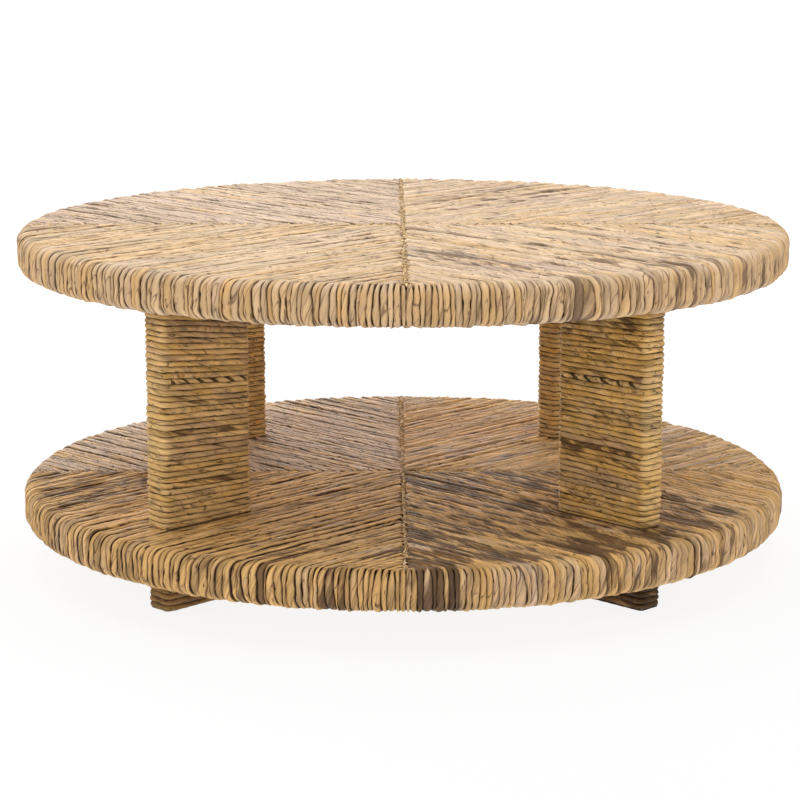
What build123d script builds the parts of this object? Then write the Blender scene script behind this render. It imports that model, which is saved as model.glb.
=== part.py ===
from build123d import *
import os
from math import sqrt

os.makedirs("parts", exist_ok=True)

# A round coffee table of two tiers, in millimetres. +Z is up, -Y is the front,
# and the origin is on the floor under the middle of the table.

# overall sizes
table_dia = 1000.0          # across either wrapped disc
table_height = 436.0        # floor to the upper face of the top
shelf_height = 104.0        # floor to the upper face of the shelf
board_thickness = 18.0      # each core is two of these boards, glued
rim_rounding = 12.0         # outer rounding of the wrapped rims

# rope layers
disc_wrap = 7.5             # rope layer round the two discs
leg_wrap = 7.0              # rope layer round the legs and feet
cord_width = 4.6            # seam cord, seen from above
cord_depth = 5.0            # seam cord, down into its groove
cord_slack = 0.2            # free space each side of the seam cord

# legs and feet
leg_radius = 357.5          # middle of a leg from the table's axis
post_length = 128.0         # long side of a post, along the table's radius
post_width = 25.0           # short side of a post
post_rounding = 1.5         # vertical edges of posts and blocks
post_slack = 0.3            # free space between a post and the edge of the rope layer round it
foot_wrap_lift = 1.0        # floor to the lowest turn on a foot

# bolts, nuts and dowels
bolt_dia = 6.0
bolt_hole_slack = 0.5       # free space round a bolt in its hole
bolt_spacing = 56.0         # two bolts at each end of a post
head_dia = 10.0
head_height = 6.0
socket_across = 5.0         # hexagon socket, across the flats
socket_depth = 3.5
head_pocket_slack = 0.5     # free space round a bolt head in the top
head_sink = 1.0             # top bolt heads lie this far under the core's face
washer_dia = 12.5
washer_thickness = 1.6
foot_pocket_dia = 14.0
foot_pocket_depth = 14.0
nut_dia = 10.0
nut_length = 16.0
nut_depth = 30.0            # middle of a nut from the end of its post
nut_slack = 0.1
bolt_past_nut = 8.0         # bolt tip past the nut's middle
thread_slack = 0.05
dowel_dia = 10.0
dowel_in_board = 14.0
dowel_in_post = 26.0
dowel_slack = 0.05

# glides under the feet
glide_inset = 3.0           # a glide's edge from each wide side of its foot block
glide_thickness = 3.0
glide_spacing = 98.0
nail_dia = 2.5
nail_length = 14.0
nail_slack = 0.05

# places worked out from the sizes above
table_radius = table_dia / 2
core_thickness = 2 * board_thickness
core_radius = table_radius - disc_wrap
core_rounding = rim_rounding - disc_wrap
disc_thickness = core_thickness + 2 * disc_wrap
top_core_low = table_height - disc_wrap - core_thickness
shelf_core_low = shelf_height - disc_wrap - core_thickness
shelf_core_high = shelf_core_low + core_thickness
shelf_low = shelf_core_low - disc_wrap
post_low = shelf_core_high
post_high = top_core_low
foot_low = glide_thickness
glide_dia = post_width - 2 * glide_inset
sleeve_length = post_length + 2 * leg_wrap
sleeve_width = post_width + 2 * leg_wrap
cut_margin = 1.0            # how far a cutting tool runs past the face it opens

on_floor = (Align.CENTER, Align.CENTER, Align.MIN)

# each quarter of the table, with the turn that brings +X to its diagonal and the signs of its x and y
quarters = {
    "front_left": (225.0, -1, -1),
    "front_right": (315.0, 1, -1),
    "back_left": (135.0, -1, 1),
    "back_right": (45.0, 1, 1),
}


def save(name, shape):
    export_step(shape, "parts/" + name + ".step")


def group(solids):
    """Several separate pieces that share one file."""
    return Compound(children=list(solids))


def at_leg(turn, along=0.0, z=0.0):
    """A place on a leg's long middle line, in the leg's own directions."""
    return Rot(Z=turn) * Pos(leg_radius + along, 0, z)


def all_leg_places(offsets, z=0.0):
    return [at_leg(turn, along, z) for turn, _, _ in quarters.values() for along in offsets]


def rod(diameter, low, high):
    """An upright round bar between two heights."""
    return Pos(0, 0, low) * Cylinder(diameter / 2, high - low, align=on_floor)


def disc(radius, low, thickness, rounding):
    """A disc whose two rim edges are rounded."""
    plain = Pos(0, 0, low) * Cylinder(radius, thickness, align=on_floor)
    return fillet(plain.edges().filter_by(GeomType.CIRCLE), rounding)


def plank(turn, length, width, low, high, rounding):
    """An upright plank at a leg's place, with rounded vertical edges."""
    plain = Box(length, width, high - low, align=on_floor)
    rounded = fillet(plain.edges().filter_by(Axis.Z), rounding)
    return at_leg(turn, 0, low) * rounded


bolt_places = (-bolt_spacing / 2, bolt_spacing / 2)
glide_places = (-glide_spacing / 2, glide_spacing / 2)


# --- the two board cores ---

def core(low):
    return disc(core_radius, low, core_thickness, core_rounding)


def half_of(shape, middle, keep):
    return split(shape, bisect_by=Plane.XY.offset(middle), keep=keep)


def top_boards():
    """The top's two boards: bolt heads sink into the upper one, dowels enter the lower one."""
    high = top_core_low + core_thickness
    whole = core(top_core_low)
    hole = rod(bolt_dia + 2 * bolt_hole_slack, top_core_low - cut_margin, high)
    pocket_low = high - head_sink - head_height
    pocket = rod(head_dia + 2 * head_pocket_slack, pocket_low, high + cut_margin)
    socket = rod(dowel_dia + 2 * dowel_slack, top_core_low - cut_margin, top_core_low + dowel_in_board)
    for place in all_leg_places(bolt_places):
        whole -= place * (hole + pocket)
    for place in all_leg_places((0,)):
        whole -= place * socket
    middle = top_core_low + board_thickness
    return half_of(whole, middle, Keep.TOP), half_of(whole, middle, Keep.BOTTOM)


def shelf_boards():
    """The shelf's two boards: bolts pass right through, dowels enter from both sides."""
    whole = core(shelf_core_low)
    hole = rod(bolt_dia + 2 * bolt_hole_slack, shelf_core_low - cut_margin, shelf_core_high + cut_margin)
    over = rod(dowel_dia + 2 * dowel_slack, shelf_core_high - dowel_in_board, shelf_core_high + cut_margin)
    under = rod(dowel_dia + 2 * dowel_slack, shelf_core_low - cut_margin, shelf_core_low + dowel_in_board)
    for place in all_leg_places(bolt_places):
        whole -= place * hole
    for place in all_leg_places((0,)):
        whole -= place * (over + under)
    middle = shelf_core_low + board_thickness
    return half_of(whole, middle, Keep.TOP), half_of(whole, middle, Keep.BOTTOM)


# --- the rope layers round the discs ---

def seam_grooves(face, down):
    """Two crossed grooves for a seam cord, cut into a face. down is -1 on an upper face, 1 underneath."""
    width = cord_width + 2 * cord_slack
    length = 2 * (table_radius - rim_rounding) + 2 * cord_slack
    height = cord_depth + cut_margin
    middle = face + down * (cord_depth - height / 2)
    return Pos(0, 0, middle) * (Box(width, length, height) + Box(length, width, height))


def disc_wraps(core_low, cut_low, cut_high):
    """The four quarters of a rope layer, with an opening for the leg between cut_low and cut_high."""
    low = core_low - disc_wrap
    high = low + disc_thickness
    layer = disc(table_radius, low, disc_thickness, rim_rounding) - core(core_low)
    layer -= seam_grooves(high, -1) + seam_grooves(low, 1)
    side = table_radius + cut_margin
    wraps = {}
    for name, (turn, x_sign, y_sign) in quarters.items():
        middle = Pos(x_sign * side / 2, y_sign * side / 2, low + disc_thickness / 2)
        quarter = layer & (middle * Box(side, side, disc_thickness + 2 * cut_margin))
        opening = Box(post_length + 2 * post_slack, post_width + 2 * post_slack, cut_high - cut_low,
                      align=on_floor)
        wraps[name] = quarter - at_leg(turn, 0, cut_low) * opening
    return wraps


def seam_cord(face, down):
    """A seam cord: one length from front to back, and two shorter ones that meet it from the sides."""
    reach = table_radius - rim_rounding
    middle = face + down * cord_depth / 2
    long_bar = Box(cord_width, 2 * reach, cord_depth)
    side_length = reach - cord_width / 2
    side_bar = Box(side_length, cord_width, cord_depth)
    bars = [Pos(0, 0, middle) * rounded_bar(long_bar, down)]
    for sign in (-1, 1):
        place = Pos(sign * (cord_width / 2 + side_length / 2), 0, middle)
        bars.append(place * rounded_bar(side_bar, down))
    return group(bars)


def rounded_bar(bar, down):
    """A cord's bar with the two long edges of its outer face rounded."""
    outer_face = bar.faces().sort_by(Axis.Z)[-1 if down < 0 else 0]
    longest = outer_face.edges().sort_by(SortBy.LENGTH)[-2:]
    return fillet(longest, cord_width / 2 - cord_slack)


# --- legs and feet ---

def nut_hole(along, z):
    """A blind cross hole from one wide side of a post, ending just past the nut."""
    depth = (post_width + nut_length) / 2 + nut_slack + cut_margin
    start = post_width / 2 + cut_margin
    bar = Cylinder(nut_dia / 2 + nut_slack, depth, rotation=(90, 0, 0))
    return Pos(along, start - depth / 2, z) * bar


def leg_post(turn):
    post = plank(turn, post_length, post_width, post_low, post_high, post_rounding)
    reach = nut_depth + bolt_past_nut + cut_margin
    hole_dia = bolt_dia + 2 * bolt_hole_slack
    for along in bolt_places:
        place = at_leg(turn, along)
        post -= place * rod(hole_dia, post_low - cut_margin, post_low + reach)
        post -= place * rod(hole_dia, post_high - reach, post_high + cut_margin)
        for z in (post_low + nut_depth, post_high - nut_depth):
            post -= at_leg(turn) * nut_hole(along, z)
    dowel_hole = dowel_dia + 2 * dowel_slack
    post -= at_leg(turn) * rod(dowel_hole, post_low - cut_margin, post_low + dowel_in_post)
    post -= at_leg(turn) * rod(dowel_hole, post_high - dowel_in_post, post_high + cut_margin)
    return post


def foot_block(turn):
    block = plank(turn, post_length, post_width, foot_low, shelf_core_low, post_rounding)
    for along in bolt_places:
        place = at_leg(turn, along)
        block -= place * rod(bolt_dia + 2 * bolt_hole_slack, foot_low, shelf_core_low + cut_margin)
        block -= place * rod(foot_pocket_dia, foot_low - cut_margin, foot_low + foot_pocket_depth)
    for along in glide_places:
        hole = rod(nail_dia + 2 * nail_slack, foot_low - cut_margin, foot_low + nail_length + nail_slack)
        block -= at_leg(turn, along) * hole
    dowel_hole = rod(dowel_dia + 2 * dowel_slack, shelf_core_low - dowel_in_post, shelf_core_low + cut_margin)
    return block - at_leg(turn) * dowel_hole


def sleeve(turn, low, high):
    """The rope wound round a post or block, as one even layer."""
    outside = plank(turn, sleeve_length, sleeve_width, low, high, post_rounding + leg_wrap)
    inside = plank(turn, post_length, post_width, low - cut_margin, high + cut_margin, post_rounding)
    return outside - inside


# --- fasteners ---

def bolt(head_face, tip, up):
    """A socket head bolt. up is 1 where it points upwards from its head, -1 where it points down."""
    head_far = head_face - up * head_height
    head = rod(head_dia, min(head_face, head_far), max(head_face, head_far))
    shank = rod(bolt_dia, min(head_face, tip), max(head_face, tip))
    hexagon = extrude(RegularPolygon(socket_across / sqrt(3), 6), amount=socket_depth)
    start = head_far if up > 0 else head_far - socket_depth
    return head + shank - Pos(0, 0, start) * hexagon


def barrel_nut(z):
    barrel = Cylinder(nut_dia / 2, nut_length, rotation=(90, 0, 0))
    thread = Cylinder(bolt_dia / 2 + thread_slack, nut_dia + 2 * cut_margin)
    return Pos(0, 0, z) * (barrel - thread)


def washer(low):
    hole = rod(bolt_dia + bolt_hole_slack, low - cut_margin, low + washer_thickness + cut_margin)
    return rod(washer_dia, low, low + washer_thickness) - hole


def glide():
    """A round glide with its nail."""
    foot = rod(glide_dia, 0, glide_thickness)
    rounded = fillet(foot.edges().filter_by(GeomType.CIRCLE).sort_by(Axis.Z)[:1], glide_thickness / 3)
    return rounded + rod(nail_dia, glide_thickness - cut_margin, foot_low + nail_length)


def at_all(piece, offsets):
    return group(place * piece for place in all_leg_places(offsets))


def save_fasteners():
    top_head_low = top_core_low + core_thickness - head_sink - head_height
    save("top_bolts", at_all(bolt(top_head_low, post_high - nut_depth - bolt_past_nut, -1), bolt_places))
    washer_low = foot_low + foot_pocket_depth - washer_thickness
    save("foot_bolts", at_all(bolt(washer_low, post_low + nut_depth + bolt_past_nut, 1), bolt_places))
    save("foot_bolt_washers", at_all(washer(washer_low), bolt_places))
    save("upper_barrel_nuts", at_all(barrel_nut(post_high - nut_depth), bolt_places))
    save("lower_barrel_nuts", at_all(barrel_nut(post_low + nut_depth), bolt_places))
    end_gap = dowel_slack
    in_post = dowel_in_post - end_gap
    in_board = dowel_in_board - end_gap
    save("top_dowels", at_all(rod(dowel_dia, post_high - in_post, post_high + in_board), (0,)))
    save("shelf_dowels", at_all(rod(dowel_dia, post_low - in_board, post_low + in_post), (0,)))
    save("foot_dowels", at_all(rod(dowel_dia, shelf_core_low - in_post, shelf_core_low + in_board), (0,)))
    save("foot_glides", at_all(glide(), glide_places))


def save_discs():
    upper, lower = top_boards()
    save("top_board_upper", upper)
    save("top_board_lower", lower)
    upper, lower = shelf_boards()
    save("shelf_board_upper", upper)
    save("shelf_board_lower", lower)
    top_low = top_core_low - disc_wrap
    for name, wrap in disc_wraps(top_core_low, top_low - cut_margin, top_core_low + cut_margin).items():
        save("top_wrap_" + name, wrap)
    for name, wrap in disc_wraps(shelf_core_low, shelf_low - cut_margin, shelf_height + cut_margin).items():
        save("shelf_wrap_" + name, wrap)
    save("top_seam_cord", seam_cord(table_height, -1))
    save("top_under_seam_cord", seam_cord(top_low, 1))
    save("shelf_seam_cord", seam_cord(shelf_height, -1))
    save("shelf_under_seam_cord", seam_cord(shelf_low, 1))


def save_legs():
    for name, (turn, _, _) in quarters.items():
        save("leg_post_" + name, leg_post(turn))
        save("leg_wrap_" + name, sleeve(turn, shelf_height, top_core_low - disc_wrap))
        save("foot_block_" + name, foot_block(turn))
        save("foot_wrap_" + name, sleeve(turn, foot_wrap_lift, shelf_low))


save_discs()
save_legs()
save_fasteners()
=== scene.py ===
import bpy
import numpy as np
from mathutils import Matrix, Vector


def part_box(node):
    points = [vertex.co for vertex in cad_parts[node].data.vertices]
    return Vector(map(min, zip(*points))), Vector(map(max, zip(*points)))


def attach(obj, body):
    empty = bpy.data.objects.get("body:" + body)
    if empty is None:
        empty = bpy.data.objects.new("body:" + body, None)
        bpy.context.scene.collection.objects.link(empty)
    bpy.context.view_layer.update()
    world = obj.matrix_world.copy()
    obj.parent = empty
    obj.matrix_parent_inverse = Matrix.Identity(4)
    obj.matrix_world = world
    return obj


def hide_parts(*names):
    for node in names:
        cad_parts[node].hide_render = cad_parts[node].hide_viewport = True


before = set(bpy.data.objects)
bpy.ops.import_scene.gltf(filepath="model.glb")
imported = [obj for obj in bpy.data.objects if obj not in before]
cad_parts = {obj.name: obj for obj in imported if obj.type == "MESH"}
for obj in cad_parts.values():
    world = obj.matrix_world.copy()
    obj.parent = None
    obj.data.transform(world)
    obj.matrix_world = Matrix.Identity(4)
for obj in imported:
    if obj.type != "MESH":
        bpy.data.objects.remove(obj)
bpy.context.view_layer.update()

quarterTurns = {"front_left": 225.0, "front_right": 315.0, "back_left": 135.0, "back_right": 45.0}


# sizes read from the CAD nodes, in metres

# Lowest and highest corner of the four quarter nodes whose names start with prefix.
def spanOf(prefix):
    boxes = [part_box(prefix + quarter) for quarter in quarterTurns]
    low = np.min([box[0] for box in boxes], axis=0)
    high = np.max([box[1] for box in boxes], axis=0)
    return low, high


# Half length and half width of a diagonal plank, and the distance of its middle from the axis.
def plankOf(prefix):
    points = np.array([v.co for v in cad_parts[prefix + "back_right"].data.vertices])
    outwards = points[:, :2] @ np.array([1.0, 1.0]) / np.sqrt(2)
    sideways = points[:, :2] @ np.array([-1.0, 1.0]) / np.sqrt(2)
    return np.ptp(outwards) / 2, np.ptp(sideways) / 2, (outwards.max() + outwards.min()) / 2


# Outer radius, faces, rope layer and rim rounding of a wrapped disc.
def discOf(kind):
    low, high = spanOf(kind + "_wrap_")
    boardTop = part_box(kind + "_board_upper")[1][2]
    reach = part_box(kind + "_seam_cord")[1][0]
    return {"radius": high[0], "low": low[2], "high": high[2], "layer": high[2] - boardTop,
            "rounding": high[0] - reach}


postHalfLength, postHalfWidth, legRadius = plankOf("leg_post_")
sleeveHalfLength, sleeveHalfWidth, _ = plankOf("leg_wrap_")
print("sizes read from the frame")


# small numpy helpers

# For each of several runs of counts[i] items, who owns each item and its place in its run.
def ragged(counts):
    owner = np.repeat(np.arange(len(counts)), counts)
    place = np.arange(counts.sum()) - np.repeat(np.cumsum(counts) - counts, counts)
    return owner, place


def unit(vectors):
    return vectors / np.maximum(np.linalg.norm(vectors, axis=1, keepdims=True), 1e-12)


# Smooth step: 3 x squared less 2 x cubed, held between 0 and 1.
def smooth(x):
    x = np.clip(x, 0, 1)
    return x * x * (3 - 2 * x)


# Smooth random values between -1 and 1 along each row: one draw each wave, eased between draws.
def unevenness(rng, rows, row, distance, wave):
    place = (distance - distance.min()) / wave
    cell = place.astype(int)
    table = rng.uniform(-1, 1, (rows, cell.max() + 2))
    ease = smooth(place - cell)
    return table[row, cell] * (1 - ease) + table[row, cell + 1] * ease


# Points turned about the table's axis.
def turned(points, degrees):
    c, s = np.cos(np.radians(degrees)), np.sin(np.radians(degrees))
    x, y, z = points[:, 0], points[:, 1], points[:, 2]
    return np.stack([c * x - s * y, s * x + c * y, z], 1)


# rope as a mesh: a section carried along many separate runs

# eight points round the section, with a wider step underneath, where the rope lies flat on the board
sectionAngles = np.radians(np.arange(8) * 40.0 - 50.0)
rimSharpness = 1.4  # how quickly the rim's share, and with it the rim's painted shade, takes over where the rope turns down


# Sections carried along runs. Each ring is centre + halfWidth cos(a) sideways + halfHeight sin(a) outwards,
# times swell, and the rings of one run are joined by quads and closed at both ends. slant leans a ring
# forwards by that much of its sideways reach. along, across, tone and mood go to the material.
def ropeMesh(name, bark, run, centre, outward, halfWidth, halfHeight, swell, along, across, tone, mood,
             sheetPlace, slant=0.0):
    sides, angles = len(sectionAngles), sectionAngles
    joined = run[1:] == run[:-1]
    step = np.where(joined[:, None], centre[1:] - centre[:-1], 0.0)
    ahead = np.vstack([step, np.zeros((1, 3))]) + np.vstack([np.zeros((1, 3)), step])
    direction = unit(ahead)
    sideways = unit(np.cross(direction, outward))
    up = np.cross(sideways, direction)
    leaning = sideways + np.broadcast_to(slant, len(centre))[:, None] * direction
    offsets = (np.cos(angles)[None, :, None] * (halfWidth[:, None] * swell)[:, :, None] * leaning[:, None, :]
               + np.sin(angles)[None, :, None] * (halfHeight[:, None] * swell)[:, :, None] * up[:, None, :])
    vertices = (centre[:, None, :] + offsets).reshape(-1, 3)

    ring = np.flatnonzero(joined)[:, None]
    side = np.arange(sides)[None, :]
    after = (side + 1) % sides
    quads = np.stack([ring * sides + side, (ring + 1) * sides + side,
                      (ring + 1) * sides + after, ring * sides + after], 2).reshape(-1, 4)
    starts = np.flatnonzero(np.r_[True, ~joined])
    ends = np.flatnonzero(np.r_[~joined, True])
    startCaps = starts[:, None] * sides + side
    endCaps = ends[:, None] * sides + side[:, ::-1]
    loops = np.concatenate([quads.ravel(), startCaps.ravel(), endCaps.ravel()])
    totals = np.concatenate([np.full(len(quads), 4), np.full(len(starts) + len(ends), sides)])

    # a place for each corner in a 0 to 1 sheet: the ring's own place, then a strip for each side
    left, bottom, height = sheetPlace
    rowUp = side / sides
    quadU = np.stack([left[ring] + 0 * rowUp, left[ring + 1] + 0 * rowUp,
                      left[ring + 1] + 0 * rowUp, left[ring] + 0 * rowUp], 2)
    stripLow = bottom[ring] + height * rowUp
    stripHigh = bottom[ring] + height * (rowUp + 1 / sides)
    quadV = np.stack([stripLow, stripLow, stripHigh, stripHigh], 2)
    capU = np.concatenate([left[starts], left[ends]])[:, None] + 0 * side
    capV = np.concatenate([bottom[starts], bottom[ends]])[:, None] + height * rowUp
    sheet = np.stack([np.r_[quadU.ravel(), capU.ravel()], np.r_[quadV.ravel(), capV.ravel()]], 1)

    mesh = bpy.data.meshes.new(name)
    mesh.vertices.add(len(vertices))
    mesh.vertices.foreach_set("co", vertices.astype(np.float32).ravel())
    mesh.loops.add(len(loops))
    mesh.loops.foreach_set("vertex_index", loops.astype(np.int32))
    mesh.polygons.add(len(totals))
    mesh.polygons.foreach_set("loop_start", (np.cumsum(totals) - totals).astype(np.int32))
    mesh.polygons.foreach_set("loop_total", totals.astype(np.int32))
    mesh.update(calc_edges=True)
    smoothFaces = np.r_[np.ones(len(quads), bool), np.zeros(len(starts) + len(ends), bool)]
    mesh.polygons.foreach_set("use_smooth", smoothFaces)
    mesh.uv_layers.new(name="OFBake").uv.foreach_set("vector", sheet.astype(np.float32).ravel())
    ropePlace = np.stack([np.repeat(along, sides), np.tile(np.arange(sides) / sides, len(along)),
                          np.repeat(across, sides)], 1)
    # share of rim, which also places the painted shade tinting the rim
    rim = smooth(rimSharpness * (1 - np.abs(outward[:, 2])))
    for attribute, kind, field, values in (("ropePlace", "FLOAT_VECTOR", "vector", ropePlace),
                                           ("ropeTone", "FLOAT", "value", np.repeat(tone, sides)),
                                           ("ropeRim", "FLOAT", "value", np.repeat(rim, sides)),
                                           ("ropeMood", "FLOAT_VECTOR", "vector", np.repeat(mood, sides, 0))):
        mesh.attributes.new(attribute, kind, "POINT").data.foreach_set(field, values.ravel())
    mesh.materials.append(barks[bark])
    mesh.validate()
    piece = bpy.data.objects.new(name, mesh)
    bpy.context.scene.collection.objects.link(piece)
    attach(piece, "root")
    return piece


# materials

# Adds nodes to one tree. Each method returns the new node's output socket.
class NodeMaker:
    def __init__(self, tree):
        self.tree = tree

    def add(self, kind, inputs=(), output=0, **settings):
        node = self.tree.nodes.new(kind)
        for key, value in settings.items():
            setattr(node, key, value)
        for key, value in dict(inputs).items():
            if isinstance(value, bpy.types.NodeSocket):
                self.tree.links.new(value, node.inputs[key])
            else:
                node.inputs[key].default_value = value
        return node.outputs[output]

    def maths(self, operation, first, second=0.0, clamp=False):
        return self.add("ShaderNodeMath", {0: first, 1: second}, operation=operation, use_clamp=clamp)

    def plus(self, first, second):
        return self.maths("ADD", first, second)

    def times(self, first, second, clamp=False):
        return self.maths("MULTIPLY", first, second, clamp)

    def mix(self, factor, first, second, blend="MIX"):
        return self.add("ShaderNodeMix", {0: factor, 6: first, 7: second}, 2, data_type="RGBA", blend_type=blend)

    def tint(self, color, by):
        return self.mix(1.0, color, by, "MULTIPLY")

    def span(self, value, low, high, start=0.0, end=1.0):
        return self.add("ShaderNodeMapRange", {0: value, 1: low, 2: high, 3: start, 4: end},
                        interpolation_type="SMOOTHSTEP")

    def vector(self, x, y, z):
        return self.add("ShaderNodeCombineXYZ", {0: x, 1: y, 2: z})

    def apart(self, vector):
        return self.add("ShaderNodeSeparateXYZ", {0: vector}).node.outputs

    def read(self, name, output):
        return self.add("ShaderNodeAttribute", output=output, attribute_name=name)

    def noise(self, place, scale=1.0, detail=2.0, roughness=0.5):
        return self.add("ShaderNodeTexNoise", {"Vector": place, "Scale": scale, "Detail": detail,
                                               "Roughness": roughness})

    def stretchedNoise(self, place, scale, detail, roughness=0.5):
        stretched = self.add("ShaderNodeMapping", {"Vector": place, "Scale": scale})
        return self.noise(stretched, 1.0, detail, roughness)

    def objectPlace(self):
        return self.add("ShaderNodeTexCoord", output=3)

    def bump(self, strength, distance, height):
        return self.add("ShaderNodeBump", {"Strength": strength, "Distance": distance, "Height": height})


# The patterns of bark, each a noise. In order: scale along the rope, what is followed sideways, scale sideways,
# whether every strand has its own, place in the third direction, detail, roughness.
barkPatterns = {
    "fibre": (45.0, "helix", 9.0, True, 0.0, 4.0, 0.62),
    "strip": (9.0, "helix", 1.6, True, 11.0, 1.0, 0.5),        # strips that the rope was twisted from
    "group": (5.0, "across", 40.0, False, 2.0, 2.0, 0.5),      # groups of neighbouring strands
    "gold": (4.0, "helix", 0.0, True, 23.0, 1.0, 0.5),
    "grey": (6.0, "helix", 1.2, True, 41.0, 2.0, 0.5),
    "dark": (14.0, "helix", 2.2, True, 67.0, 3.0, 0.6),
    "crease": (22.0, "helix", 3.2, True, 83.0, 0.0, 0.5),      # a crease runs where this is close to 0.5
    "creaseHere": (30.0, "helix", 0.0, True, 0.0, 0.0, 0.5),
    "speck": (75.0, "around", 7.0, True, 0.0, 1.0, 0.5),
    "depth": (38.0, "across", 130.0, False, 5.0, 1.0, 0.5),    # how strong the painted shade in the gap beside a strand is
}
barkLook = {
    "fibreTurn": 0.085,            # length in which the fibres go once round
    "strandSpacing": 37.7,         # how far strands lie from one another in the noises
    "moodPull": 0.4,               # how far a mood shifts the noise that it acts on
    "goldFrom": (0.42, 0.72),      # noise at which bark starts to be golden, and is golden all through
    "greyFrom": (0.5, 0.75),
    "darkFrom": (0.6, 0.8),
    "creaseFrom": (0.45, 0.55),
    "speckFrom": (0.69, 0.77),
    "gapShadowRange": (0.3, 0.62, 0.35, 1.25),  # the noise's low and high end, and the painted gap shade's strength there
    "fibreShare": 1.7,             # lighter and darker: fine fibres, strips, whole strands, groups of strands
    "stripShare": 1.4,
    "strandShare": 0.3,
    "groupShare": 0.6,
    "darkContrast": 1.6,           # contrast of the fibres in dark bark, to pale bark
    "darkest": 0.25,
    "darkStrength": 0.85,
    # painted shade in the creases, as a share of full darkness
    "creaseShade": 0.8,
    "creaseWidth": 0.032,
    "rimCreases": 0.07,            # more creases on the rim
    "lowSpecks": 0.07,             # more specks low on a strand
    "stripeTurn": 0.0235,          # length of one turn of a striped rope
    "stripeWander": 0.5,
    "stripeEdges": (0.2, 0.8, 0.0, 0.95),
    "stripedBelow": (-2.4, -1.8),  # a golden mood as low as this asks for stripes
    "rimGapShadow": 0.35,               # stronger painted shade in the gaps on the rim
    "gapShadowTint": (0.55, 0.5, 0.45, 1),
    # height round the strand, from -1 to 1, between which it counts as low, or as falling off into the gap, where
    # painted shade darkens it
    "lowSide": (0.2, 0.9),
    "gapShadowSide": (-0.1, 0.7),
    "stripBump": 0.8,              # height of strips and depth of creases, to the height of the fibres
    "creaseBump": 0.5,
    "bumpStrength": 0.7,
    "bumpDepth": 0.0011,
    "shine": 0.3,
    "roughness": (0.3, 0.7, 0.62, 0.8),   # the fibres' low and high end, and the roughness there
}
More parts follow.
